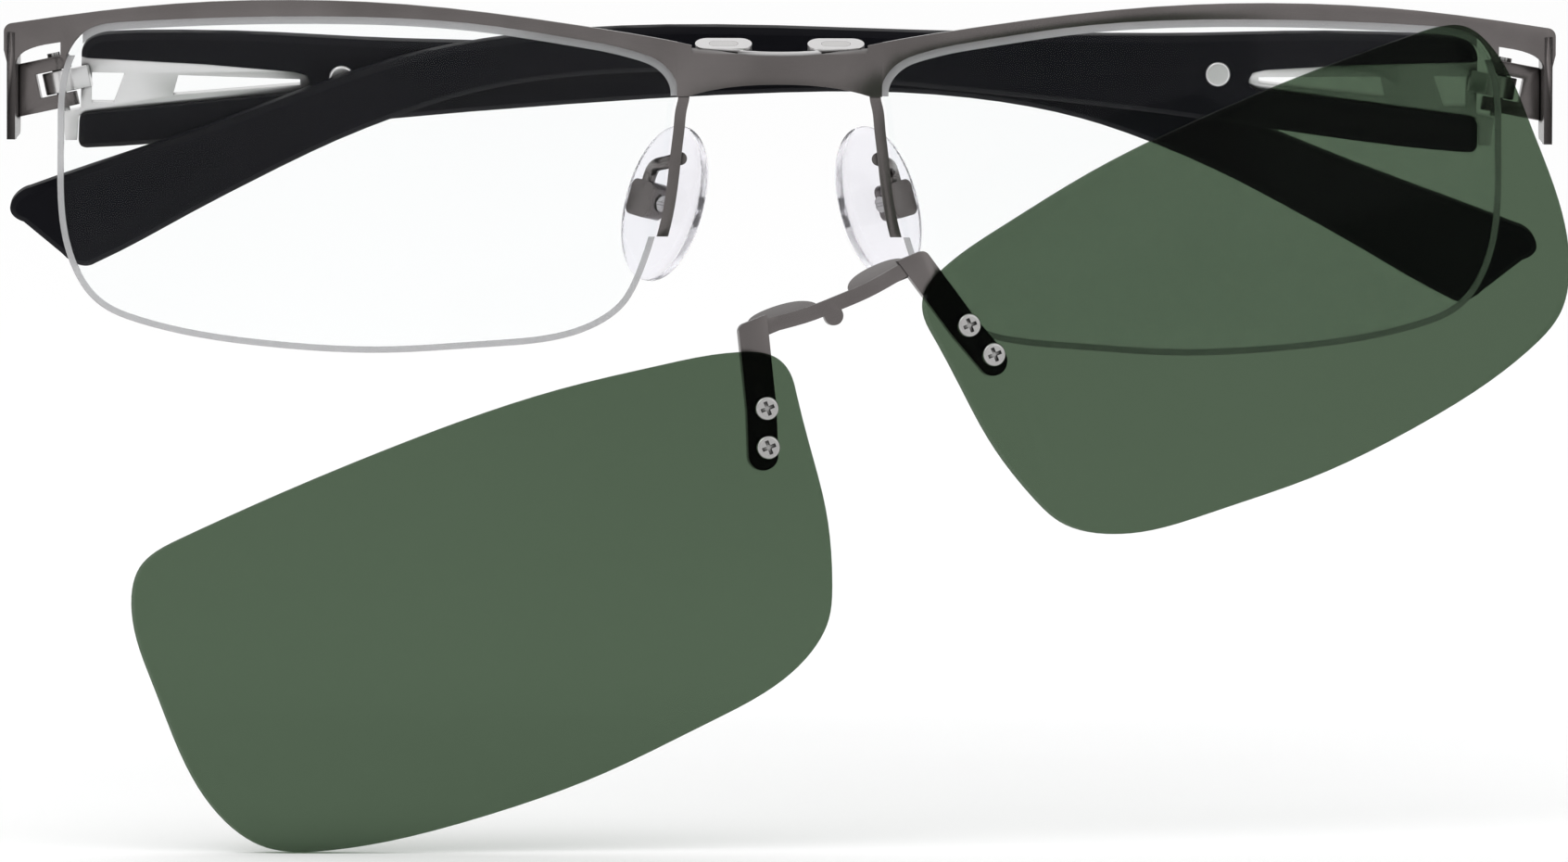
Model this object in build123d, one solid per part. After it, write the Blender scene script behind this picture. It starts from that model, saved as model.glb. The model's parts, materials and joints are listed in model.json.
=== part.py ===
from build123d import *
import math
import os

# Half-rim glasses with folded temples, and the tinted clip that magnets hold on their bridge.
# Lengths are millimetres. +Z is up, the front faces -Y, and +X is on the viewer's right.
# The origin lies midway between the two nose pads, where the frame sits on the nose.
# Each side piece is built on the +X side, and its partner is its mirror image.

# Lenses and the plan curve of the front
front_radius = 230.0
lens_width = 55.85
lens_height = 29.9
lens_thickness = 1.8
lens_gap = 18.9
lens_bottom_z = -13.9
lens_groove_width = 0.64
lens_groove_depth = 0.5

# Front bar, nasal rims, liner strips and nylon threads
bar_overhang = 5.05
brow_depth = 2.2
brow_gap = 0.25
leg_step = 0.3
leg_foot_z = 4.9
liner_end = 2.2
rim_width = 1.0
rim_depth = 2.0
rim_foot_z = -3.35
liner_thickness = 0.56
thread_thickness = 0.5
thread_proud = 0.12
thread_top_z = 12.6

# Bent plate in the middle of the front bar
bridge_half_width = 9.2
bridge_bend_x = 6.2
bridge_thickness = 1.0
bridge_bend_depth = 0.38
bridge_top_z = 12.88
bridge_height = 2.55
bridge_end_rise = 1.22
bridge_foot_drop = 1.1

# Magnet seat on the bridge
seat_slope = 24.0
seat_y = -0.4
seat_z = 13.5
shelf_length = 2.3
shelf_thickness = 0.6
shelf_strip_length = 0.9
shelf_strip_rise = 0.35
lobe_x = 5.05
lobe_width = 5.1
flange_thickness = 0.5
flange_height = 1.5
magnet_width = 2.6
magnet_length = 1.1
magnet_thickness = 0.4
seat_relief = 0.05
seat_relief_half_width = 7.9

# Endpieces and temple hinges
side_thickness = 0.75
side_height = 9.7
side_rear_height = 8.6
side_top_z = 14.6
side_rear_drop = 0.7
side_rear_reach = 1.15
side_corner_radius = 1.0
hinge_inset = 3.6
hinge_setback = 5.31
hinge_z = 10.0
hinge_height = 4.7
knuckle_radius = 1.4
knuckle_height = 2.0
leaf_slot_reach = 1.9
screw_radius = 0.45
screw_head_radius = 0.6
screw_head_height = 0.35
screw_end = 0.4
right_lean = 10.8
left_lean = 12.2
right_turn = 1.27
left_turn = -1.62

# Temples, which lie folded: the right one in front, the left one behind it
temple_length = 135.9
temple_height = 9.0
sleeve_inner = 1.7
sleeve_thickness = 2.4
sleeve_chamfer = 0.55
prong_radius = 0.8
core_inner = 2.4
core_thickness = 1.0
core_start = 1.9
tongue_tail = 19.0
tongue_height = 2.2
tenon_length = 2.8
tenon_width = 1.2
tenon_start = 1.5
rivet_radius = 0.6
rivet_head_radius = 1.15
rivet_head_height = 0.3
left_droop = 1.45

# Nose pads
pad_right_x = 9.6
pad_left_x = 11.0
pad_y = 7.6
pad_z = -0.5
pad_length = 14.4
pad_width = 8.8
pad_thickness = 1.9
pad_splay = 48.0
pad_frontal_tilt = 15.0
pad_lug_reach = 2.0
pad_lug_thickness = 0.9
pad_lug_height = 2.4
box_length = 3.3
box_width = 2.7
box_reach = 2.2
box_gap = 0.35
pad_screw_radius = 0.45
pad_screw_head_radius = 0.75
pad_arm_radius = 0.6
pad_arm_root_x = 8.9
pad_arm_root_z = 3.6
pad_arm_rise = 1.7

# Clip
clip_lens_width = 57.7
clip_lens_height = 31.6
clip_lens_thickness = 1.6
clip_lens_inner_x = 6.45
clip_lens_bottom_z = -15.5
clip_arm_thickness = 0.8
clip_arm_clear = 0.5
clip_arm_half_width = 1.25
clip_arm_top_x = 7.35
clip_arm_top_z = 14.75
clip_arm_corner = 0.7
clip_arm_end = 0.65
clip_screw_x = 9.36
clip_screw_z = 7.6
clip_screw_pitch = 3.24
clip_arm_splay = 19.5
clip_screw_radius = 0.6
clip_head_radius = 1.0
clip_head_height = 0.45
clip_head_edge = 0.25
recess_width = 0.32
recess_length = 1.2
recess_depth = 0.28
clip_bar_z = 13.36
clip_bar_half_width = 6.6
clip_bar_half_height = 0.61
clip_bar_rise = 0.5
clip_bar_thickness = 0.6
clip_tab_x = 4.6
clip_tab_width = 6.2
clip_tab_length = 1.95
clip_tab_thickness = 0.6
clip_tongue_x = -0.7
clip_tongue_half_width = 0.8
clip_tongue_drop = 1.66
seat_gap = 0.08

# Where the clip lies beside the glasses, as a turn about its bar and a shift of the bar's middle
clip_roll = -21.89
clip_yaw = 14.3
clip_pitch = 1.75
clip_rest_x = 4.2
clip_rest_y = -70.0
clip_rest_z = -5.9
clip_pivot_z = 14.0

# Clearances, and overruns for cuts
fit = 0.02
slip = 0.05
hinge_gap = 0.1
hair = 0.01
overrun = 5.0
skin_height = 120.0
prism_reach = 30.0
outline_steps = 72

# Outlines, as shares of the sizes that they follow
lens_shares = [
    (0.0, 0.754), (0.017, 0.859), (0.059, 0.897), (0.164, 0.938), (0.301, 0.976),
    (0.552, 1.0), (0.887, 0.98), (0.956, 0.949), (0.99, 0.847), (1.0, 0.636),
    (0.979, 0.253), (0.936, 0.138), (0.869, 0.081), (0.65, 0.013), (0.462, 0.0),
    (0.301, 0.02), (0.126, 0.084), (0.077, 0.155), (0.055, 0.232), (0.028, 0.384),
]
brow_top_shares = [
    (0.2274, -0.0251), (0.3412, 0.0127), (0.4264, 0.0355), (0.54, 0.0535), (0.6397, 0.0569),
    (0.7107, 0.0528), (0.8245, 0.0334), (0.924, 0.0043), (0.9886, -0.0184),
]
lug_shares = [(0.868, -0.1137), (0.912, -0.122), (0.9254, -0.122)]
brow_under_shares = [
    (0.9254, -0.0753), (0.9466, -0.0836), (0.9666, -0.097), (0.978, -0.112), (0.9851, -0.14),
]
leg_outer_shares = [(0.9957, -0.14), (1.0, -0.1)]
temple_top_shares = [
    (0.014, 0.264), (0.0202, 0.4), (0.0346, 0.456), (0.064, 0.481), (0.1325, 0.494),
    (0.2075, 0.467), (0.2575, 0.464), (0.3385, 0.472), (0.412, 0.5), (0.4834, 0.532),
    (0.577, 0.532), (0.64, 0.472), (0.699, 0.344), (0.758, 0.117), (0.821, -0.239),
    (0.8845, -0.6), (0.9345, -0.861), (0.9868, -1.144),
]
temple_end_shares = [(0.9868, -1.144), (0.9956, -1.217), (1.0, -1.322), (0.9912, -1.5)]
temple_heel_shares = [(0.9661, -1.822), (0.958, -1.922), (0.9514, -1.956), (0.9433, -1.928)]
temple_bottom_shares = [
    (0.9433, -1.928), (0.9191, -1.744), (0.8815, -1.4256), (0.8315, -1.022), (0.7815, -0.65),
    (0.7373, -0.378), (0.6954, -0.172), (0.6578, -0.048), (0.6196, 0.028), (0.5637, 0.0744),
    (0.4857, 0.039), (0.3951, -0.0667), (0.32, -0.18), (0.2266, -0.342), (0.1508, -0.5),
    (0.064, -0.678), (0.0128, -0.745),
]
slot_shares = [
    (0.0, 0.218), (0.0971, 0.178), (0.1567, 0.124), (0.1656, 0.094), (0.168, 0.022),
    (0.1678, -0.039), (0.1641, -0.083), (0.1567, -0.1056), (0.0228, -0.3667), (0.0, -0.411),
]
front_window_shares = [(0.0211, 0.044), (0.0432, 0.048), (0.0361, -0.264), (0.0212, -0.267)]
rear_window_shares = [(0.0792, 0.041), (0.1611, 0.033), (0.1611, -0.022), (0.0758, -0.167)]
core_tab_shares = [
    (0.0177, -0.333), (0.009, -0.36), (0.0018, -0.385), (0.004, -0.672), (0.0118, -0.667),
    (0.0125, -0.42), (0.0177, -0.36),
]
rivet_shares = (0.1889, 0.081)
clip_bar_rise_shares = [(0.0, 0.0), (0.4, 0.08), (0.75, 0.55), (1.0, 1.0)]
clip_tab_shares = [
    (-0.5, -0.65), (-0.46, 0.15), (-0.33, 0.62), (-0.1, 0.93), (0.12, 1.0), (0.34, 0.83),
    (0.47, 0.3), (0.5, -0.65),
]


def spread(shares, width, height, x=0.0, z=0.0):
    return [(x + u * width, z + v * height) for u, v in shares]


def plan_y(x, offset=0.0):
    # y of the front's curved wall at x, offset millimetres in front of its middle
    radius = front_radius + offset
    return front_radius - math.sqrt(radius ** 2 - x ** 2)


def skin(front, back):
    # wall of the front's cylinder between two offsets from its middle
    wall = Cylinder(front_radius + front, skin_height)
    wall -= Cylinder(front_radius + back, skin_height + overrun)
    return Pos(0, front_radius, 0) * wall


def prism(sketch):
    return extrude(Plane.XZ * sketch, amount=prism_reach, both=True)


def rectangle(x0, x1, z0, z1):
    return Pos((x0 + x1) / 2, (z0 + z1) / 2) * Rectangle(x1 - x0, z1 - z0)


def other_side(shape):
    return mirror(shape, about=Plane.YZ)


def lens_outline(width, height, x, z):
    return make_face(Spline(*spread(lens_shares, width, height, x, z), periodic=True))


def frame_lens_outline(grown=0):
    # the outline that runs the given distance outside the lens edge
    edge = Spline(*spread(lens_shares, lens_width, lens_height, lens_gap / 2, lens_bottom_z),
                  periodic=True)
    points = []
    for step in range(outline_steps):
        point = edge @ (step / outline_steps)
        along = edge % (step / outline_steps)
        points.append((point.X - grown * along.Y, point.Y + grown * along.X))
    return make_face(Spline(*points, periodic=True))


def lens_top_z():
    return lens_bottom_z + lens_height


def seat_plane():
    tilt = math.radians(seat_slope)
    return Plane(origin=(0, seat_y, seat_z), x_dir=(1, 0, 0),
                 z_dir=(0, -math.sin(tilt), math.cos(tilt)))


# Front of the glasses

def lens():
    body = prism(frame_lens_outline()) & skin(lens_thickness / 2, -lens_thickness / 2)
    rim = frame_lens_outline(lens_groove_depth) - frame_lens_outline(-lens_groove_depth)
    groove = prism(rim) & skin(lens_groove_width / 2, -lens_groove_width / 2)
    return body - groove


def channel():
    # the groove that the brow and the nasal rim hold the liner in
    outline = frame_lens_outline(brow_gap + lens_groove_depth)
    return prism(outline) & skin(lens_groove_width / 2, -lens_groove_width / 2)


def bar_end_x():
    return lens_gap / 2 + lens_width + bar_overhang


def side_inner_x():
    return bar_end_x() - leg_step - side_thickness


def bridge_foot_z():
    return bridge_top_z - bridge_height - bridge_foot_drop


def below_top_edge():
    # all that lies below the front bar's top edge, which runs from end to end in one curve
    half = [
        (bridge_bend_x / 2, bridge_top_z + bridge_end_rise / 10),
        (bridge_bend_x, bridge_top_z + bridge_end_rise / 2),
        (bridge_half_width, bridge_top_z + bridge_end_rise),
    ]
    half += spread(brow_top_shares, bar_end_x(), lens_height, 0, lens_top_z())
    edge = Spline(*[(-x, z) for x, z in reversed(half)], (0, bridge_top_z), *half)
    x, z = half[-1]
    radius = bar_end_x() - x
    bend = radius * math.sqrt(0.5)
    low_z = lens_bottom_z
    lines = edge.edges()
    for side in (1, -1):
        lines += ThreePointArc((side * x, z), (side * (x + bend), z - radius + bend),
                               (side * (x + radius), z - radius)).edges()
        lines += Line((side * (x + radius), z - radius), (side * (x + radius), low_z)).edges()
    lines += Line((-x - radius, low_z), (x + radius, low_z)).edges()
    return make_face(lines)


def brow_face():
    # a brow bar with the lug beside its lens and the leg at its outer end
    high_z = lens_top_z() + lens_height
    outline = [(bar_end_x(), high_z), (bridge_half_width, high_z),
               (bridge_half_width, bridge_foot_z()), (lens_gap, bridge_foot_z())]
    outline += spread(lug_shares + brow_under_shares[:1], bar_end_x(), lens_height, 0, lens_top_z())
    under = spread(brow_under_shares, bar_end_x(), lens_height, 0, lens_top_z())
    leg = [under[-1], (side_inner_x(), leg_foot_z), (bar_end_x() - leg_step, leg_foot_z)]
    leg += spread(leg_outer_shares, bar_end_x(), lens_height, 0, lens_top_z())
    leg.append((bar_end_x(), high_z))
    face = make_face(Polyline(*outline).edges() + Spline(*under).edges() + Polyline(*leg).edges())
    return (face & below_top_edge()) - frame_lens_outline(brow_gap)


def brow():
    return (prism(brow_face()) & skin(brow_depth / 2, -brow_depth / 2)) - channel()


def rim_zone():
    return rectangle(0, lens_gap, rim_foot_z, bridge_foot_z())


def rim_ring():
    return frame_lens_outline(brow_gap + rim_width) - frame_lens_outline(brow_gap)


def nasal_rim():
    wall = skin(rim_depth / 2, -rim_depth / 2)
    return (prism(rim_ring() & rim_zone()) & wall) - channel()


def liner():
    reach = lens_groove_depth - slip
    band = frame_lens_outline(brow_gap + reach) - frame_lens_outline(-reach)
    band &= rectangle(bridge_half_width, lens_gap / 2 + lens_width - liner_end,
                      bridge_foot_z() + slip, lens_top_z() + overrun)
    return prism(band) & skin(liner_thickness / 2, -liner_thickness / 2)


def thread():
    band = frame_lens_outline(thread_proud) - frame_lens_outline(slip - lens_groove_depth)
    lens_x = lens_gap / 2 + lens_width
    low = rectangle(0, lens_x + overrun, lens_bottom_z - overrun, rim_foot_z - slip)
    side = rectangle(lens_x - lens_width / 2, lens_x + overrun, lens_bottom_z, thread_top_z - slip)
    return prism(band & (low + side)) & skin(thread_thickness / 2, -thread_thickness / 2)


def bridge_face():
    foot_z = bridge_top_z - bridge_height
    arch_start = bridge_half_width - rim_width
    arch = [
        (arch_start, bridge_foot_z()),
        (bridge_bend_x, foot_z - bridge_foot_drop / 2),
        (bridge_bend_x / 2, foot_z - bridge_foot_drop / 10),
        (0, foot_z),
    ]
    under = arch + [(-x, z) for x, z in reversed(arch[:-1])]
    frame = Polyline((arch_start, bridge_foot_z()), (bridge_half_width, bridge_foot_z()),
                     (bridge_half_width, lens_top_z()), (-bridge_half_width, lens_top_z()),
                     (-bridge_half_width, bridge_foot_z()), (-arch_start, bridge_foot_z()))
    face = make_face(Spline(*under).edges() + frame.edges()) & below_top_edge()
    right_rim = rim_zone() & frame_lens_outline(brow_gap + rim_width)
    return face - right_rim - mirror(right_rim, about=Plane.YZ)


def bridge_band():
    # a bent plate: its middle stands forward of its two ends
    end_y = plan_y(bridge_half_width, brow_depth / 2)
    front_line = [
        (bridge_half_width, end_y),
        (bridge_bend_x, end_y - bridge_bend_depth),
        (-bridge_bend_x, end_y - bridge_bend_depth),
        (-bridge_half_width, end_y),
    ]
    back_line = [(x, y + bridge_thickness) for x, y in reversed(front_line)]
    plan = make_face(Polyline(*front_line, *back_line, close=True))
    return extrude(Pos(0, 0, -skin_height / 2) * plan, amount=skin_height)


def front_bar():
    # both brow bars and the bridge plate between them are one piece
    plate = bridge_band() & prism(bridge_face())
    # the seat's slope carries on over the plate's top edge
    cutter = Box(2 * seat_relief_half_width, skin_height, overrun,
                 align=(Align.CENTER, Align.CENTER, Align.MIN))
    plate -= seat_plane() * Pos(0, 0, -seat_relief) * cutter
    return plate + brow() + other_side(brow())


def magnet_blank(clearance):
    return extrude(SlotOverall(magnet_width + 2 * clearance, magnet_length + 2 * clearance),
                   amount=magnet_thickness + clearance)


def magnet_places():
    return [Pos(side * lobe_x, shelf_length / 2, 0) for side in (1, -1)]


def shelf_strip():
    # a thin strip between the lobes that follows the plate's top edge
    above = Pos(0, shelf_strip_rise) * below_top_edge()
    band = above - Pos(0, -flange_height) * below_top_edge()
    reach = Box(2 * lobe_x - lobe_width / 2, shelf_strip_length, skin_height,
                align=(Align.CENTER, Align.MIN, Align.CENTER))
    return prism(band) & Pos(0, seat_y, 0) * reach


def magnet_shelf():
    shape = Part()
    for side in (1, -1):
        lobe = SlotOverall(lobe_width, shelf_length)
        shape += Pos(side * lobe_x, shelf_length / 2, 0) * extrude(lobe, amount=-shelf_thickness)
    shape = seat_plane() * shape
    flange = Box(2 * lobe_x + lobe_width / 2, flange_thickness, flange_height,
                 align=(Align.CENTER, Align.MIN, Align.MAX))
    tilt = math.radians(seat_slope)
    flange = Pos(0, seat_y, seat_z - shelf_thickness / 2 * math.cos(tilt)) * flange
    shape += shelf_strip() + (flange & prism(below_top_edge()))
    for place in magnet_places():
        shape -= seat_plane() * place * Pos(0, 0, -magnet_thickness) * magnet_blank(fit)
    above_seat = Box(skin_height, skin_height, overrun,
                     align=(Align.CENTER, Align.CENTER, Align.MIN))
    return shape - seat_plane() * above_seat - bridge_band() - front_bar()


def frame_magnet():
    return seat_plane() * magnet_places()[0] * Pos(0, 0, -magnet_thickness) * magnet_blank(0)


# Endpieces and hinges

def side_plate():
    # turns back from the front bar's leg, and carries the hinge leaf on its inner face
    front_y = plan_y(side_inner_x(), brow_depth / 2)
    rear_y = hinge_y() + side_rear_reach
    corners = [
        (front_y, side_top_z),
        (rear_y, side_top_z - side_rear_drop),
        (rear_y, side_top_z - side_rear_drop - side_rear_height),
        (front_y, side_top_z - side_height),
    ]
    face = make_face(Polyline(*corners, close=True))
    face = fillet(face.vertices().group_by(Axis.X)[-1], side_corner_radius)
    plate = extrude(Plane.YZ * face, amount=side_thickness)
    return Pos(side_inner_x(), 0, 0) * plate - brow()


def hinge_x():
    return side_inner_x() - hinge_inset


def hinge_y():
    return plan_y(side_inner_x()) + hinge_setback


def hinge_plane(lean):
    tilt = math.radians(lean)
    return Plane(origin=(hinge_x(), hinge_y(), hinge_z), x_dir=(math.cos(tilt), 0, -math.sin(tilt)),
                 z_dir=(math.sin(tilt), 0, math.cos(tilt)))


def hinge_leaf(lean):
    # two knuckles on a block that is brazed to the side plate
    shape = Cylinder(knuckle_radius, hinge_height)
    shape += Box(overrun, 2 * knuckle_radius, hinge_height,
                 align=(Align.MIN, Align.CENTER, Align.CENTER))
    shape -= Cylinder(screw_radius + fit, hinge_height + overrun)
    slot = Box(leaf_slot_reach + knuckle_radius + overrun, 2 * knuckle_radius + overrun,
               knuckle_height + 2 * hinge_gap, align=(Align.MAX, Align.CENTER, Align.CENTER))
    shape -= Pos(leaf_slot_reach, 0, 0) * slot
    beyond = Box(2 * overrun, skin_height, skin_height, align=(Align.MIN, Align.CENTER, Align.CENTER))
    return hinge_plane(lean) * shape - Pos(side_inner_x(), 0, 0) * beyond


def hinge_screw(lean):
    length = hinge_height + screw_end
    shank = Cylinder(screw_radius, length, align=(Align.CENTER, Align.CENTER, Align.MAX))
    head = Cylinder(screw_head_radius, screw_head_height,
                    align=(Align.CENTER, Align.CENTER, Align.MIN))
    head -= Pos(0, 0, screw_head_height) * Box(2 * screw_head_radius, recess_width,
                                               2 * recess_depth)
    return hinge_plane(lean) * Pos(0, 0, hinge_height / 2) * (shank + head)


# Temples, on the +X side, in their folded place

def temple_plane(lean, offset_angle, droop):
    # local x runs along the temple, local y up its blade, local z out of its outer face
    turn = math.radians(offset_angle)
    fall = math.radians(droop)
    along = Vector(-math.cos(turn) * math.cos(fall), -math.sin(turn), -math.sin(fall))
    tilt = math.radians(lean)
    out = Vector(0, math.cos(tilt), math.sin(tilt))
    up = out.cross(along).normalized()
    return Plane(origin=(hinge_x(), hinge_y(), hinge_z), x_dir=along, z_dir=along.cross(up))


def temple_face(shares):
    return make_face(Polyline(*spread(shares, temple_length, temple_height), close=True))


def blade(face, inner, thickness):
    return Pos(0, 0, inner) * extrude(face, amount=thickness)


def rivet_point():
    u, v = rivet_shares
    return u * temple_length, v * temple_height


def tongue_face(clearance):
    # the core's tail, which runs on inside the sleeve
    x, z = rivet_point()
    start = slot_shares[4][0] * temple_length - tongue_height
    return rectangle(start - clearance, x + tongue_tail + clearance,
                     z - tongue_height / 2 - clearance, z + tongue_height / 2 + clearance)


def rivet_hole():
    return Pos(*rivet_point(), 0) * Cylinder(rivet_radius + fit, skin_height)


def temple_sleeve(plane):
    outline = Spline(*spread(temple_top_shares, temple_length, temple_height)).edges()
    outline += Spline(*spread(temple_end_shares, temple_length, temple_height)).edges()
    outline += Line(*spread([temple_end_shares[-1], temple_heel_shares[0]],
                            temple_length, temple_height)).edges()
    outline += Spline(*spread(temple_heel_shares, temple_length, temple_height)).edges()
    outline += Spline(*spread(temple_bottom_shares, temple_length, temple_height)).edges()
    outline += Line(*spread([temple_bottom_shares[-1], temple_top_shares[0]],
                            temple_length, temple_height)).edges()
    whole = make_face(outline)
    face = whole - temple_face(slot_shares)
    tips = face.vertices().filter_by(lambda v: v.X < tenon_length and v.Y < 0)
    face = fillet(tips, prong_radius)
    shape = blade(whole, sleeve_inner, sleeve_thickness)
    levels = shape.edges().group_by(Axis.Z)
    shape = chamfer(levels[0] + levels[-1], sleeve_chamfer)
    shape &= blade(face, sleeve_inner - overrun, sleeve_thickness + 2 * overrun)
    shape -= blade(tongue_face(slip), core_inner - slip, core_thickness + 2 * slip)
    shape -= rivet_hole()
    return plane * shape


def temple_core(plane):
    face = temple_face(slot_shares)
    face &= rectangle(core_start, temple_length, -temple_height, temple_height)
    face += tongue_face(0) + temple_face(core_tab_shares)
    face -= temple_face(front_window_shares) + temple_face(rear_window_shares)
    shape = blade(face, core_inner, core_thickness) - rivet_hole()
    return plane * shape


def temple_rivet(plane):
    # the hinge-side dome lies on the sleeve's inner face
    head = Cylinder(rivet_head_radius, rivet_head_height,
                    align=(Align.CENTER, Align.CENTER, Align.MAX))
    rim = head.edges().group_by(Axis.Z)[0]
    head = fillet(rim, rivet_head_height * 0.8)
    shank = Cylinder(rivet_radius, sleeve_thickness, align=(Align.CENTER, Align.CENTER, Align.MIN))
    return plane * Pos(*rivet_point(), sleeve_inner) * (head + shank)


def temple_knuckle(lean, plane):
    # the middle knuckle and the bent tenon that carries the core plate
    shape = Cylinder(knuckle_radius, knuckle_height)
    arm = Box(tenon_length, tenon_width, knuckle_height,
              align=(Align.MAX, Align.CENTER, Align.CENTER))
    foot = Box(tenon_length - tenon_start, overrun, knuckle_height,
               align=(Align.MAX, Align.MIN, Align.CENTER))
    shape += arm + Pos(-tenon_start, 0, 0) * foot
    shape -= Cylinder(screw_radius + slip, knuckle_height + overrun)
    beyond = Box(skin_height, skin_height, skin_height,
                 align=(Align.CENTER, Align.CENTER, Align.MIN))
    return hinge_plane(lean) * shape - plane * Pos(0, 0, core_inner) * beyond


# Nose pads

def pad_frame(x):
    # local x runs back across the pad, local y down its length, local z towards the nose
    splay = math.radians(pad_splay)
    plane = Plane(origin=(0, 0, 0), x_dir=(math.sin(splay), math.cos(splay), 0),
                  z_dir=(-math.cos(splay), math.sin(splay), 0))
    return Pos(x, pad_y, pad_z) * Rot(Y=-pad_frontal_tilt) * plane.location


def nose_pad(place):
    shape = extrude(Ellipse(pad_width / 2, pad_length / 2), amount=pad_thickness)
    shape = fillet(shape.edges(), pad_thickness * 0.42)
    lug = Box(pad_lug_thickness, pad_lug_height, pad_lug_reach + pad_thickness / 2,
              align=(Align.CENTER, Align.CENTER, Align.MIN))
    shape += Pos(0, 0, -pad_lug_reach) * lug
    hole = Cylinder(pad_screw_radius + slip, pad_width, rotation=(0, 90, 0))
    shape -= Pos(0, 0, -pad_lug_reach / 2) * hole
    return place * shape


def pad_box_blank():
    shape = Box(box_width, box_length, box_reach, align=(Align.CENTER, Align.CENTER, Align.MAX))
    return Pos(0, 0, -box_gap) * fillet(shape.edges().filter_by(Axis.Z), box_width / 4)


def pad_box(place):
    # a small cup behind the pad, open towards it, that the pad's lug rocks in
    pocket = Box(pad_lug_thickness + 2 * box_gap, box_length - box_width / 4,
                 pad_lug_reach - box_gap / 2, align=(Align.CENTER, Align.CENTER, Align.MAX))
    shape = pad_box_blank() - Pos(0, 0, -box_gap) * pocket
    hole = Cylinder(pad_screw_radius + fit, box_width + overrun, rotation=(0, 90, 0))
    shape -= Pos(0, 0, -pad_lug_reach / 2) * hole
    return place * shape


def pad_screw(place):
    shank = Cylinder(pad_screw_radius, box_width, rotation=(0, 90, 0))
    head = Cylinder(pad_screw_head_radius, screw_head_height / 2, rotation=(0, 90, 0),
                    align=(Align.CENTER, Align.CENTER, Align.MAX))
    head -= Pos(-screw_head_height / 2, 0, 0) * Box(recess_depth / 2, recess_width,
                                                    2 * pad_screw_head_radius)
    return place * Pos(0, 0, -pad_lug_reach / 2) * (shank + Pos(-box_width / 2, 0, 0) * head)


def pad_arm(place):
    # a gooseneck from the back of the nasal rim over and down to the top of the pad's box
    box_top = place * Pos(0, -box_length / 2, -box_gap - box_reach + pad_arm_radius)
    end = box_top.position
    down = (place * Pos(0, 0, -box_gap - box_reach + pad_arm_radius)).position - end
    root_y = plan_y(pad_arm_root_x, -rim_depth / 2) + hair
    path = Spline(
        (pad_arm_root_x, root_y, pad_arm_root_z),
        ((pad_arm_root_x + end.X) / 2, (root_y + end.Y) / 2, end.Z + pad_arm_rise),
        (end.X, end.Y, end.Z),
        tangents=((0, 1, 0), (down.X, down.Y, down.Z)),
    )
    section = Plane(origin=path @ 0, z_dir=path % 0) * Circle(pad_arm_radius)
    return sweep(section, path=path)


# Clip, built on its seat

def clip_offsets():
    # back of the arms, back of the lens and front of the lens, before the front's middle
    arm_back = brow_depth / 2 + clip_arm_clear
    lens_back = arm_back + clip_arm_thickness + fit
    return arm_back, lens_back, lens_back + clip_lens_thickness


def clip_screw_points():
    splay = math.radians(clip_arm_splay)
    lower = (clip_screw_x + clip_screw_pitch * math.sin(splay),
             clip_screw_z - clip_screw_pitch * math.cos(splay))
    return [(clip_screw_x, clip_screw_z), lower]


def clip_screw_plane(x, z):
    # on the front of the clip's lens, local z straight out of it
    offset = clip_offsets()[-1]
    lean = math.asin(x / (front_radius + offset))
    return Plane(origin=(x, plan_y(x, offset), z), x_dir=(math.cos(lean), math.sin(lean), 0),
                 z_dir=(math.sin(lean), -math.cos(lean), 0))


def clip_lens():
    arm_back, lens_back, lens_front = clip_offsets()
    outline = lens_outline(clip_lens_width, clip_lens_height, clip_lens_inner_x,
                           clip_lens_bottom_z)
    shape = prism(outline) & skin(lens_front, lens_back)
    for x, z in clip_screw_points():
        hole = Cylinder(clip_screw_radius + fit, overrun)
        shape -= clip_screw_plane(x, z) * hole
    return shape


def strip(points, half_width):
    # a flat strip with round corners along a line of points
    face = Sketch()
    for start, end in zip(points, points[1:]):
        dx, dz = end[0] - start[0], end[1] - start[1]
        middle = Pos((start[0] + end[0]) / 2, (start[1] + end[1]) / 2)
        turn = Rot(Z=math.degrees(math.atan2(dz, dx)))
        face += middle * turn * Rectangle(math.hypot(dx, dz), 2 * half_width)
    for x, z in points:
        face += Pos(x, z) * Circle(half_width)
    return face


def clip_arm_face():
    # an arm whose top is cut level, with a round outer corner
    upper, lower = clip_screw_points()
    splay = math.radians(clip_arm_splay)
    end = (lower[0] + clip_arm_end * math.sin(splay), lower[1] - clip_arm_end * math.cos(splay))
    slope = (clip_arm_top_x - upper[0]) / (clip_arm_top_z - upper[1])
    beyond = (clip_arm_top_x + slope * 2 * clip_arm_half_width,
              clip_arm_top_z + 2 * clip_arm_half_width)
    arm = strip([beyond, upper, end], clip_arm_half_width)
    arm &= rectangle(0, clip_lens_width, clip_lens_bottom_z, clip_arm_top_z)
    corner = arm.vertices().filter_by(lambda v: v.Y > clip_arm_top_z - hair).sort_by(Axis.X)[-1]
    return fillet(corner, clip_arm_corner)


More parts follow.
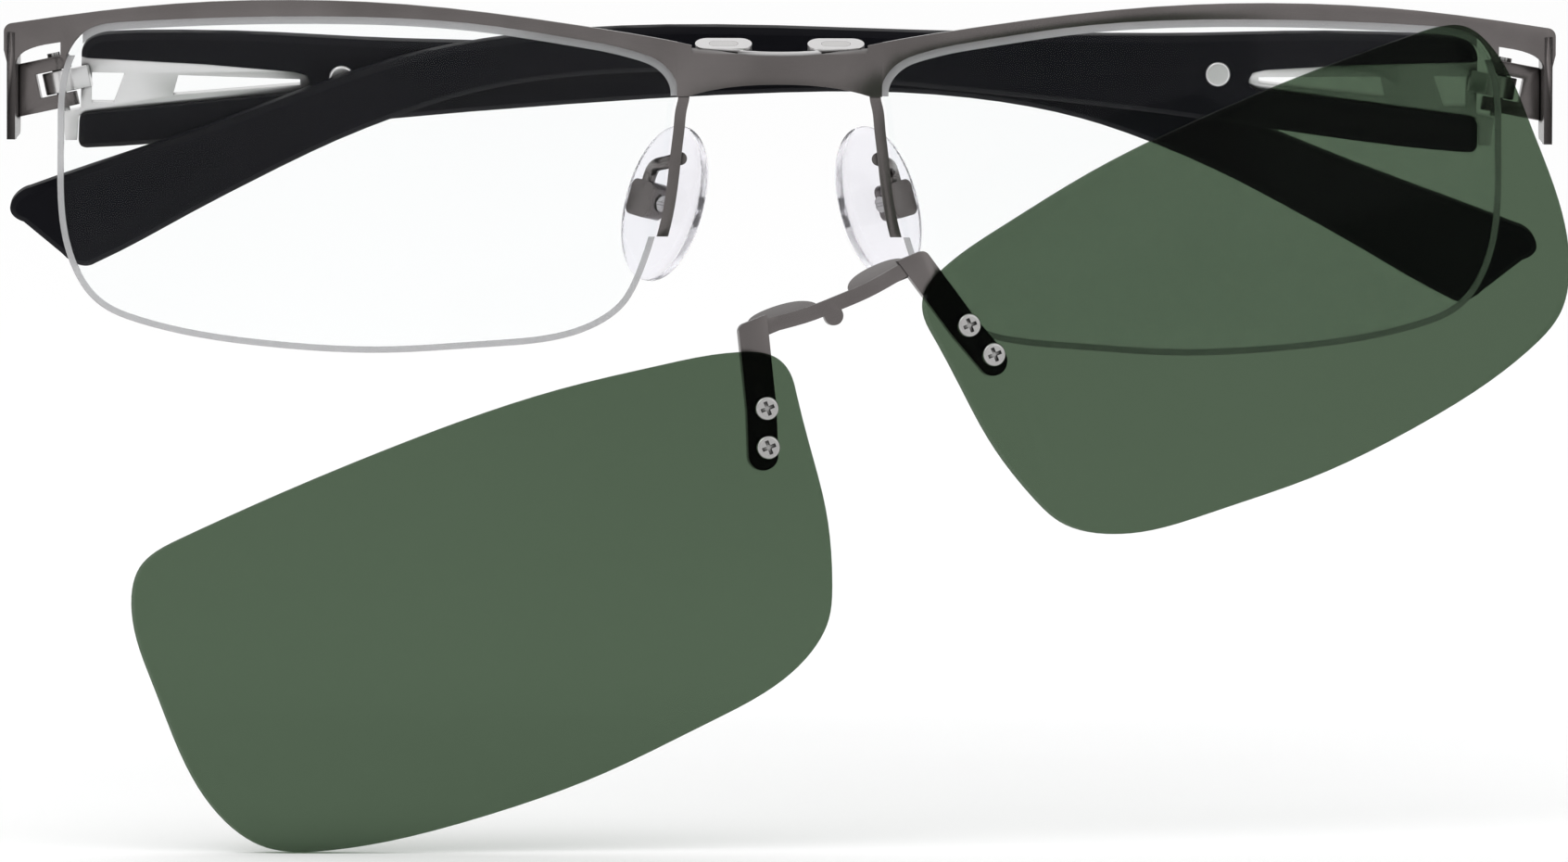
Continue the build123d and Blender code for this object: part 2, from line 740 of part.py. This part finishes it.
def clip_bar_face():
    rises = [(u * clip_bar_half_width, v * clip_bar_rise) for u, v in clip_bar_rise_shares]
    rises = [(-x, z) for x, z in reversed(rises[1:])] + rises
    top = [(x, clip_bar_z + clip_bar_half_height + z) for x, z in rises]
    foot = [(x, clip_bar_z - clip_bar_half_height + z) for x, z in rises]
    sides = Line(top[0], foot[0]).edges() + Line(top[-1], foot[-1]).edges()
    face = make_face(Spline(*top).edges() + Spline(*foot).edges() + sides)
    root_z = clip_bar_z + clip_bar_half_height - clip_tongue_half_width
    tip_z = clip_bar_z - clip_tongue_drop + clip_tongue_half_width
    tongue = strip([(clip_tongue_x, root_z), (clip_tongue_x, tip_z)], clip_tongue_half_width)
    return face + tongue


def clip_tab():
    # a plate with a round back that lies over one of the bridge's lobes
    outline = spread(clip_tab_shares, clip_tab_width, clip_tab_length, clip_tab_x)
    face = make_face(Spline(*outline).edges() + Line(outline[0], outline[-1]).edges())
    return Pos(0, 0, seat_gap) * extrude(face, amount=clip_tab_thickness)


def clip_bridge():
    arm_back = clip_offsets()[0]
    arm = clip_arm_face()
    arms = prism(arm + mirror(arm, about=Plane.YZ))
    shape = arms & skin(arm_back + clip_arm_thickness, arm_back)
    shape += prism(clip_bar_face()) & skin(arm_back + clip_bar_thickness, arm_back)
    tab = clip_tab() - magnet_places()[0] * Pos(0, 0, seat_gap) * magnet_blank(fit)
    tab = seat_plane() * tab & skin(arm_back + clip_bar_thickness, -skin_height)
    shape += tab + other_side(tab)
    for side in (1, -1):
        for x, z in clip_screw_points():
            hole = Cylinder(clip_screw_radius + fit, overrun)
            shape -= clip_screw_plane(side * x, z) * hole
    return shape


def clip_magnet():
    return seat_plane() * magnet_places()[0] * Pos(0, 0, seat_gap) * magnet_blank(0)


def clip_screw(x, z):
    arm_back, lens_back, lens_front = clip_offsets()
    grip = lens_front - arm_back
    shank = Cylinder(clip_screw_radius, grip, align=(Align.CENTER, Align.CENTER, Align.MAX))
    head = Cylinder(clip_head_radius, clip_head_height,
                    align=(Align.CENTER, Align.CENTER, Align.MIN))
    head = fillet(head.edges().group_by(Axis.Z)[-1], clip_head_edge)
    for turn in (0, 90):
        bar = Box(recess_length, recess_width, 2 * recess_depth)
        head -= Pos(0, 0, clip_head_height) * Rot(Z=turn) * bar
    return clip_screw_plane(x, z) * Pos(0, 0, hair) * (shank + head)


def clip_rest():
    turn = Rot(Y=clip_roll) * Rot(Z=clip_yaw) * Rot(X=clip_pitch)
    return Pos(clip_rest_x, clip_rest_y, clip_rest_z) * turn * Pos(0, 0, -clip_pivot_z)


def build_parts():
    parts = {"front_bar": front_bar(), "magnet_shelf": magnet_shelf()}
    pairs = {
        "lens": lens(), "rim": nasal_rim(), "liner": liner(), "thread": thread(),
        "front_magnet": frame_magnet(), "endpiece": side_plate(),
    }
    for name, shape in pairs.items():
        parts[name + "_right"] = shape
        parts[name + "_left"] = other_side(shape)

    for side, x in (("right", pad_right_x), ("left", pad_left_x)):
        place = pad_frame(x)
        pieces = {"nose_pad": nose_pad(place), "pad_box": pad_box(place),
                  "pad_screw": pad_screw(place), "pad_arm": pad_arm(place)}
        for name, shape in pieces.items():
            parts[name + "_" + side] = shape if side == "right" else other_side(shape)

    sides = (("right", right_lean, right_turn, 0), ("left", left_lean, left_turn, left_droop))
    for side, lean, turn, droop in sides:
        plane = temple_plane(lean, turn, droop)
        pieces = {
            "hinge_leaf": hinge_leaf(lean), "hinge_screw": hinge_screw(lean),
            "temple_knuckle": temple_knuckle(lean, plane), "temple_core": temple_core(plane),
            "temple_sleeve": temple_sleeve(plane), "temple_rivet": temple_rivet(plane),
        }
        for name, shape in pieces.items():
            parts[name + "_" + side] = shape if side == "right" else other_side(shape)

    upper, lower = clip_screw_points()
    clip = {
        "clip_bridge": clip_bridge(), "clip_lens_right": clip_lens(),
        "clip_lens_left": other_side(clip_lens()), "clip_magnet_right": clip_magnet(),
        "clip_magnet_left": other_side(clip_magnet()),
        "clip_screws_right": Part() + [clip_screw(*upper), clip_screw(*lower)],
        "clip_screw_left_upper": other_side(clip_screw(*upper)),
        "clip_screw_left_lower": other_side(clip_screw(*lower)),
    }
    for name, shape in clip.items():
        parts[name] = clip_rest() * shape
    return parts


os.makedirs("parts", exist_ok=True)
for node, solid in build_parts().items():
    export_step(solid, f"parts/{node}.step")
    print(node, round(solid.volume, 3))
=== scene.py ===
import bpy
import json
import math
from mathutils import Matrix, Vector

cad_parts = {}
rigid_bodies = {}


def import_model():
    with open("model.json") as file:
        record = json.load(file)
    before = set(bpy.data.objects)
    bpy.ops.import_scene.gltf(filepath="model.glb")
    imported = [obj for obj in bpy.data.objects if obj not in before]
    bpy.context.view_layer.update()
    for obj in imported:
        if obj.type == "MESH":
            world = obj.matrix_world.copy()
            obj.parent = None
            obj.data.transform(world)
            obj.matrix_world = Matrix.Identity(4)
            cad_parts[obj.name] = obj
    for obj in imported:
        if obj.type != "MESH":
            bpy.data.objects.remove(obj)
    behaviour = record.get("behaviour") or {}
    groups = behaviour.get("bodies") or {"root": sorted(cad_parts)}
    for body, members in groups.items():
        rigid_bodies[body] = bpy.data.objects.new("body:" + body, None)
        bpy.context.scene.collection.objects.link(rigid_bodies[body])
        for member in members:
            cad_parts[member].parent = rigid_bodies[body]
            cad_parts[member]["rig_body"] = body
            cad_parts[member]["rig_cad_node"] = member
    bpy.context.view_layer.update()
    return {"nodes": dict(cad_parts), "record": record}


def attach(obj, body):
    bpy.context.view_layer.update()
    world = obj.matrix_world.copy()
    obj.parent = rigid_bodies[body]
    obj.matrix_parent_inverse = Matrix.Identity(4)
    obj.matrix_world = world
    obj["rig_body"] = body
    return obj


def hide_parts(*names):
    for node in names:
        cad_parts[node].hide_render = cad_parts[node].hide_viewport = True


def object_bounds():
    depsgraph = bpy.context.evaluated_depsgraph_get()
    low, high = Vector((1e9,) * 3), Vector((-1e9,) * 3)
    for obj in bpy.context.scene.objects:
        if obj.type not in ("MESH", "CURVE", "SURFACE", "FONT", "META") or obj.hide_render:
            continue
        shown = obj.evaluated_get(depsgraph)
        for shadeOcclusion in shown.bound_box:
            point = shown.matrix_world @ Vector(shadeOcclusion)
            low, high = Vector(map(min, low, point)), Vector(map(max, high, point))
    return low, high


mm = 0.001
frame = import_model()
nodes = frame["nodes"]
bodyOf = {}
for bodyName, bodyNodes in frame["record"]["behaviour"]["bodies"].items():
    for nodeName in bodyNodes:
        bodyOf[nodeName] = bodyName
slotOf = {}
for subpart in frame["record"]["subparts"]:
    slotOf[subpart["node"]] = subpart["material_slot"]
print("loaded", len(nodes), "nodes")


# Small helpers

def deselectAll():
    if bpy.context.object and bpy.context.object.mode != "OBJECT":
        bpy.ops.object.mode_set(mode="OBJECT")
    bpy.ops.object.select_all(action="DESELECT")


def pickOnly(obj):
    deselectAll()
    obj.select_set(True)
    bpy.context.view_layer.objects.active = obj


def applyModifiers(obj):
    pickOnly(obj)
    for modifier in list(obj.modifiers):
        bpy.ops.object.modifier_apply(modifier=modifier.name)


def nodeIn(tree, kind, place=(0, 0), **inputs):
    node = tree.nodes.new(kind)
    node.location = place
    for name, value in inputs.items():
        node.inputs[name.replace("_", " ")].default_value = value
    return node


def wire(tree, giver, output, taker, entry):
    tree.links.new(giver.outputs[output], taker.inputs[entry])


def startMaterial(name):
    material = bpy.data.materials.new(name)
    material.use_nodes = True
    tree = material.node_tree
    shader = tree.nodes["Principled BSDF"]
    coords = nodeIn(tree, "ShaderNodeTexCoord", (-1100, 0))
    return material, tree, shader, coords


# A Mix node has the same names for each kind of value, so its sockets go by number
mixFactor = 0
numberFrom = 2
numberTo = 3
colorFrom = 6
colorTo = 7
numberMixed = 0
colorMixed = 2


def colorMix(tree, place, first, second=None):
    mix = nodeIn(tree, "ShaderNodeMix", place)
    mix.data_type = "RGBA"
    mix.inputs[colorFrom].default_value = (*first, 1)
    if second:
        mix.inputs[colorTo].default_value = (*second, 1)
    return mix


def glossRange(tree, shader, pattern, low, high):
    # roughness that follows a pattern between two values
    gloss = nodeIn(tree, "ShaderNodeMapRange", (-500, -100), To_Min=low, To_Max=high)
    wire(tree, pattern, "Fac", gloss, "Value")
    wire(tree, gloss, "Result", shader, "Roughness")


def fineBump(tree, shader, pattern, strength, depth):
    bump = nodeIn(tree, "ShaderNodeBump", (-300, -300), Strength=strength, Distance=depth)
    wire(tree, pattern, "Fac", bump, "Height")
    wire(tree, bump, "Normal", shader, "Normal")


def setInk(obj, material):
    if not obj.data.materials:
        obj.data.materials.append(material)
    for index in range(len(obj.data.materials)):
        obj.data.materials[index] = material


# Metal: satin plating with slow patches of tone and a fine brushing along X.
# Scales are per metre. The base colour gets painted shade in recesses and where pieces
# meet, and its reach is how near a neighbour must be to darken it

metalInk = {
    "gunmetal": {"color": (0.152, 0.139, 0.137), "dark": (0.112, 0.102, 0.100),
                 "roughness": 0.26},
    "silver": {"color": (0.70, 0.69, 0.69), "dark": (0.64, 0.63, 0.63),
               "roughness": 0.3},
    "steel": {"color": (0.60, 0.59, 0.585), "dark": (0.54, 0.53, 0.525),
              "roughness": 0.14},
    "screwSteel": {"color": (0.40, 0.395, 0.39), "dark": (0.34, 0.335, 0.33),
                   "roughness": 0.22},
}

metalSurface = {
    "brushScale": (500, 5000, 5000), "brushDetail": 2.0, "brushRoughness": 0.5,
    "patchScale": 120.0, "patchDetail": 2.0, "patchFrom": 0.3, "patchTo": 0.7,
    "glossSpread": 0.015, "bump": 0.006, "bumpDepth": 0.01 * mm,
    # painted shade: its reach, the occlusion levels it spans, the share of colour kept at
    # most shade, and the shade colour
    "recessReach": 0.5 * mm, "recessFrom": 0.42, "recessTo": 0.85,
    "recessKept": 0.08, "recessColor": (0.02, 0.019, 0.018),
}


def metalFinish(name, ink):
    material, tree, shader, coords = startMaterial(name)
    shader.inputs["Metallic"].default_value = 1.0
    stretch = nodeIn(tree, "ShaderNodeMapping", (-900, -200),
                     Scale=metalSurface["brushScale"])
    wire(tree, coords, "Object", stretch, "Vector")
    brush = nodeIn(tree, "ShaderNodeTexNoise", (-700, -200), Scale=1.0,
                   Detail=metalSurface["brushDetail"],
                   Roughness=metalSurface["brushRoughness"])
    wire(tree, stretch, "Vector", brush, "Vector")
    patch = nodeIn(tree, "ShaderNodeTexNoise", (-700, 200),
                   Scale=metalSurface["patchScale"], Detail=metalSurface["patchDetail"])
    wire(tree, coords, "Object", patch, "Vector")
    tone = nodeIn(tree, "ShaderNodeMapRange", (-500, 200),
                  From_Min=metalSurface["patchFrom"], From_Max=metalSurface["patchTo"])
    wire(tree, patch, "Fac", tone, "Value")
    plating = colorMix(tree, (-300, 200), ink["dark"], ink["color"])
    wire(tree, tone, "Result", plating, mixFactor)
    # painted shade: the base colour goes dark in recesses and along the lines where pieces
    # meet
    shadeOcclusion = nodeIn(tree, "ShaderNodeAmbientOcclusion", (-500, 500),
                    Distance=metalSurface["recessReach"])
    shade = nodeIn(tree, "ShaderNodeMapRange", (-300, 500),
                   From_Min=metalSurface["recessFrom"], From_Max=metalSurface["recessTo"],
                   To_Min=metalSurface["recessKept"])
    wire(tree, shadeOcclusion, "AO", shade, "Value")
    paintedShadePlating = colorMix(tree, (-100, 300), metalSurface["recessColor"])
    wire(tree, shade, "Result", paintedShadePlating, mixFactor)
    wire(tree, plating, colorMixed, paintedShadePlating, colorTo)
    wire(tree, paintedShadePlating, colorMixed, shader, "Base Color")
    glossRange(tree, shader, brush, ink["roughness"] - metalSurface["glossSpread"],
               ink["roughness"] + metalSurface["glossSpread"])
    fineBump(tree, shader, brush, metalSurface["bump"], metalSurface["bumpDepth"])
    return material


# Soft-touch coat of the sleeves: an even fine grain with slow, barely seen clouds

rubberInk = {
    "color": (0.0027, 0.0027, 0.0042), "light": (0.0044, 0.0044, 0.0066),
    "roughness": 0.48, "glossSpread": 0.06, "sheen": 0.06,
    "grainScale": 5000.0, "grainDetail": 1.0, "cloudScale": 60.0, "cloudDetail": 2.0,
    "bump": 0.02, "bumpDepth": 0.01 * mm,
}


def rubberFinish(name, ink):
    material, tree, shader, coords = startMaterial(name)
    shader.inputs["Specular IOR Level"].default_value = ink["sheen"]
    grain = nodeIn(tree, "ShaderNodeTexNoise", (-700, -200), Scale=ink["grainScale"],
                   Detail=ink["grainDetail"])
    cloud = nodeIn(tree, "ShaderNodeTexNoise", (-700, 200), Scale=ink["cloudScale"],
                   Detail=ink["cloudDetail"])
    wire(tree, coords, "Object", grain, "Vector")
    wire(tree, coords, "Object", cloud, "Vector")
    coat = colorMix(tree, (-300, 200), ink["color"], ink["light"])
    wire(tree, cloud, "Fac", coat, mixFactor)
    wire(tree, coat, colorMixed, shader, "Base Color")
    glossRange(tree, shader, cloud, ink["roughness"] - ink["glossSpread"],
               ink["roughness"] + ink["glossSpread"])
    fineBump(tree, shader, grain, ink["bump"], ink["bumpDepth"])
    return material


# Clear plastic of threads, liners and nose pads, which casts only a weak shadow

clearInk = {
    "nylon": {"color": (0.60, 0.59, 0.60), "roughness": 0.2, "ior": 1.5,
              "clearness": 0.45},
    "silicone": {"color": (0.93, 0.92, 0.96), "roughness": 0.08, "ior": 1.33,
                 "clearness": 0.93},
}

clearSurface = {"smearScale": 45.0, "smearDetail": 2.0, "glossSpread": 0.01}


def clearFinish(name, ink):
    material, tree, shader, coords = startMaterial(name)
    shader.inputs["Base Color"].default_value = (*ink["color"], 1)
    shader.inputs["Transmission Weight"].default_value = ink["clearness"]
    shader.inputs["IOR"].default_value = ink["ior"]
    smear = nodeIn(tree, "ShaderNodeTexNoise", (-700, -200),
                   Scale=clearSurface["smearScale"], Detail=clearSurface["smearDetail"])
    wire(tree, coords, "Object", smear, "Vector")
    glossRange(tree, shader, smear, ink["roughness"],
               ink["roughness"] + clearSurface["glossSpread"])
    shade = nodeIn(tree, "ShaderNodeBsdfTransparent", (0, -300), Color=(*ink["color"], 1))
    path = nodeIn(tree, "ShaderNodeLightPath", (0, 400))
    join = nodeIn(tree, "ShaderNodeMixShader", (300, 0))
    wire(tree, path, "Is Shadow Ray", join, 0)
    wire(tree, shader, "BSDF", join, 1)
    wire(tree, shade, "BSDF", join, 2)
    wire(tree, join, "Shader", tree.nodes["Material Output"], "Surface")
    return material


# Lenses without power, which tint what lies behind them and bend nothing.
# through is the light that one face lets by, so two faces pass its square;
# shine is how much of a plain surface's reflection the coating leaves

lensInk = {
    "clearLens": {"through": (0.99, 0.995, 0.995), "shine": 0.1, "tint": 0.004},
    "greenLens": {"through": (0.284, 0.344, 0.276), "shine": 0.06, "tint": 0.006},
}

lensSurface = {"roughness": 0.05, "ior": 1.5, "cloudScale": 30.0, "cloudDetail": 1.0}


def lensFinish(name, ink):
    material, tree, shader, coords = startMaterial(name)
    shader.inputs["Base Color"].default_value = (1, 1, 1, 1)
    shader.inputs["Metallic"].default_value = 1.0
    shader.inputs["Roughness"].default_value = lensSurface["roughness"]
    clear = nodeIn(tree, "ShaderNodeBsdfTransparent", (0, -300))
    cloud = nodeIn(tree, "ShaderNodeTexNoise", (-700, -200),
                   Scale=lensSurface["cloudScale"], Detail=lensSurface["cloudDetail"])
    wire(tree, coords, "Object", cloud, "Vector")
    tint = colorMix(tree, (-300, -200), [level - ink["tint"] for level in ink["through"]],
                    [level + ink["tint"] for level in ink["through"]])
    wire(tree, cloud, "Fac", tint, mixFactor)
    wire(tree, tint, colorMixed, clear, "Color")
    glance = nodeIn(tree, "ShaderNodeFresnel", (-300, 400), IOR=lensSurface["ior"])
    weak = nodeIn(tree, "ShaderNodeMapRange", (-100, 400), To_Max=ink["shine"])
    wire(tree, glance, "Fac", weak, "Value")
    join = nodeIn(tree, "ShaderNodeMixShader", (300, 0))
    wire(tree, weak, "Result", join, 0)
    wire(tree, clear, "BSDF", join, 1)
    wire(tree, shader, "BSDF", join, 2)
    wire(tree, join, "Shader", tree.nodes["Material Output"], "Surface")
    return material


# Finishes by the record's material slots; all screws share one finish of their own

finishes = {
    "gunmetal": metalFinish("gunmetal", metalInk["gunmetal"]),
    "silver": metalFinish("silver", metalInk["silver"]),
    "magnet": metalFinish("magnet", metalInk["steel"]),
    "black_rubber": rubberFinish("softTouch", rubberInk),
    "clear_lens": lensFinish("clearLens", lensInk["clearLens"]),
    "nylon": clearFinish("nylon", clearInk["nylon"]),
    "silicone": clearFinish("silicone", clearInk["silicone"]),
    "green_lens": lensFinish("greenLens", lensInk["greenLens"]),
}
screwFinish = metalFinish("screwSteel", metalInk["screwSteel"])
print("finishes ready")


# The CAD pieces, with their sharp edges broken; widths in millimetres, angles in degrees

edgeWidth = {
    "front_bar": 0.22, "rim": 0.16, "endpiece": 0.16, "magnet_shelf": 0.1,
    "hinge_leaf": 0.12, "temple_knuckle": 0.12, "temple_core": 0.08,
    "temple_sleeve": 0.3, "clip_bridge": 0.24, "lens": 0.1, "clip_lens": 0.14,
    "pad_box": 0.12,
}

edgeCut = {"weld": 0.002, "flatAngle": 0.3, "segments": 3, "sharpAngle": 40,
           "smoothAngle": 38}


def softenNode(nodeName, width):
    # a merged copy of the node, without its CAD tags, with a real bevel along its edges
    pickOnly(nodes[nodeName])
    bpy.ops.object.duplicate()
    piece = bpy.context.object
    piece.name = nodeName + "_soft"
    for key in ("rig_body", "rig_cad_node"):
        del piece[key]
    piece.parent = None
    piece.matrix_world.identity()
    bpy.ops.object.mode_set(mode="EDIT")
    bpy.ops.mesh.select_all(action="SELECT")
    bpy.ops.mesh.remove_doubles(threshold=edgeCut["weld"] * mm)
    bpy.ops.mesh.dissolve_limited(angle_limit=math.radians(edgeCut["flatAngle"]))
    bpy.ops.object.mode_set(mode="OBJECT")
    bevel = piece.modifiers.new("edge", "BEVEL")
    bevel.width = width * mm
    bevel.segments = edgeCut["segments"]
    bevel.limit_method = "ANGLE"
    bevel.angle_limit = math.radians(edgeCut["sharpAngle"])
    bevel.use_clamp_overlap = True
    applyModifiers(piece)
    bpy.ops.object.shade_smooth_by_angle(angle=math.radians(edgeCut["smoothAngle"]))
    setInk(piece, finishes[slotOf[nodeName]])
    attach(piece, bodyOf[nodeName])
    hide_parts(nodeName)


def baseName(nodeName):
    return nodeName.replace("_left", "").replace("_right", "")


for nodeName in sorted(nodes):
    if baseName(nodeName) in edgeWidth:
        softenNode(nodeName, edgeWidth[baseName(nodeName)])
    else:
        ink = screwFinish if "screw" in nodeName else finishes[slotOf[nodeName]]
        setInk(nodes[nodeName], ink)
print("edges broken")


# Floor, in metres

floorSetup = {"color": (0.98, 0.98, 0.98), "roughness": 0.9, "size": 16.0, "back": 5.0}


def buildFloor():
    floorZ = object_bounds()[0][2]
    deselectAll()
    bpy.ops.mesh.primitive_plane_add(size=floorSetup["size"],
                                     location=(0, floorSetup["back"], floorZ))
    floor = bpy.context.object
    floor.name = "floor"
    bpy.ops.object.transform_apply(location=True, rotation=False, scale=False)
    material, _, shader, _ = startMaterial("paleFloor")
    shader.inputs["Roughness"].default_value = floorSetup["roughness"]
    shader.inputs["Specular IOR Level"].default_value = 0.0
    shader.inputs["Base Color"].default_value = (*floorSetup["color"], 1)
    setInk(floor, material)


# World: soft light that is brighter from above, while camera, metal and glass see white.
# The light fades between directions whose Z is fadeHeight and minus fadeHeight

worldSetup = {"above": 1.03, "below": 0.6, "white": 1.0, "fadeHeight": 0.6}


def buildWorld():
    world = bpy.data.worlds.new("studio")
    bpy.context.scene.world = world
    world.use_nodes = True
    tree = world.node_tree
    background = tree.nodes["Background"]
    background.inputs["Color"].default_value = (1, 1, 1, 1)
    coords = nodeIn(tree, "ShaderNodeTexCoord", (-900, -200))
    split = nodeIn(tree, "ShaderNodeSeparateXYZ", (-700, -200))
    wire(tree, coords, "Generated", split, "Vector")
    sky = nodeIn(tree, "ShaderNodeMapRange", (-500, -200),
                 From_Min=-worldSetup["fadeHeight"], From_Max=worldSetup["fadeHeight"],
                 To_Min=worldSetup["below"], To_Max=worldSetup["above"])
    wire(tree, split, "Z", sky, "Value")
    path = nodeIn(tree, "ShaderNodeLightPath", (-900, 200))
    bent = nodeIn(tree, "ShaderNodeMath", (-700, 200))
    bent.operation = "MAXIMUM"
    wire(tree, path, "Is Glossy Ray", bent, 0)
    wire(tree, path, "Is Transmission Ray", bent, 1)
    seen = nodeIn(tree, "ShaderNodeMath", (-500, 200))
    seen.operation = "MAXIMUM"
    wire(tree, path, "Is Camera Ray", seen, 0)
    wire(tree, bent, "Value", seen, 1)
    strength = nodeIn(tree, "ShaderNodeMix", (-300, 0))
    strength.inputs[numberTo].default_value = worldSetup["white"]
    wire(tree, seen, "Value", strength, mixFactor)
    wire(tree, sky, "Result", strength, numberFrom)
    wire(tree, strength, numberMixed, background, "Strength")


# Lamps, in metres and watts, aimed at the origin between the nose pads

lamps = {
    "keyLight": {"place": (-0.45, -0.5, 0.75), "size": 0.6, "watts": 1.0},
    "fillLight": {"place": (0.6, -0.6, 0.45), "size": 0.5, "watts": 0.5},
}


def buildLamps():
    for name, setup in lamps.items():
        deselectAll()
        bpy.ops.object.light_add(type="AREA", location=setup["place"])
        lamp = bpy.context.object
        lamp.name = name
        lamp.data.energy = setup["watts"]
        lamp.data.size = setup["size"]
        aim = -Vector(setup["place"])
        lamp.rotation_euler = aim.to_track_quat("-Z", "Y").to_euler()


# Camera, in millimetres and degrees; across is the width of its view at the target

cameraSetup = {"target": (0.5, 0.0, -20.83), "distance": 1000.0, "elevation": 3.0,
               "across": 141.0, "roll": 0.19, "sensor": 36.0, "farthest": 50000.0}


def buildCamera():
    tilt = math.radians(cameraSetup["elevation"])
    away = Vector((0, -math.cos(tilt), math.sin(tilt))) * cameraSetup["distance"] * mm
    turn = Matrix.Rotation(math.radians(90) - tilt, 4, "X")
    turn = turn @ Matrix.Rotation(math.radians(cameraSetup["roll"]), 4, "Z")
    deselectAll()
    bpy.ops.object.camera_add(location=Vector(cameraSetup["target"]) * mm + away,
                              rotation=turn.to_euler())
    camera = bpy.context.object
    camera.name = "photoCamera"
    camera.data.sensor_width = cameraSetup["sensor"]
    camera.data.lens = (cameraSetup["sensor"] * cameraSetup["distance"]
                        / cameraSetup["across"])
    camera.data.clip_end = cameraSetup["farthest"] * mm
    bpy.context.scene.camera = camera


buildFloor()
buildWorld()
buildLamps()
buildCamera()
bpy.context.scene.view_settings.view_transform = "Standard"
print("studio ready")
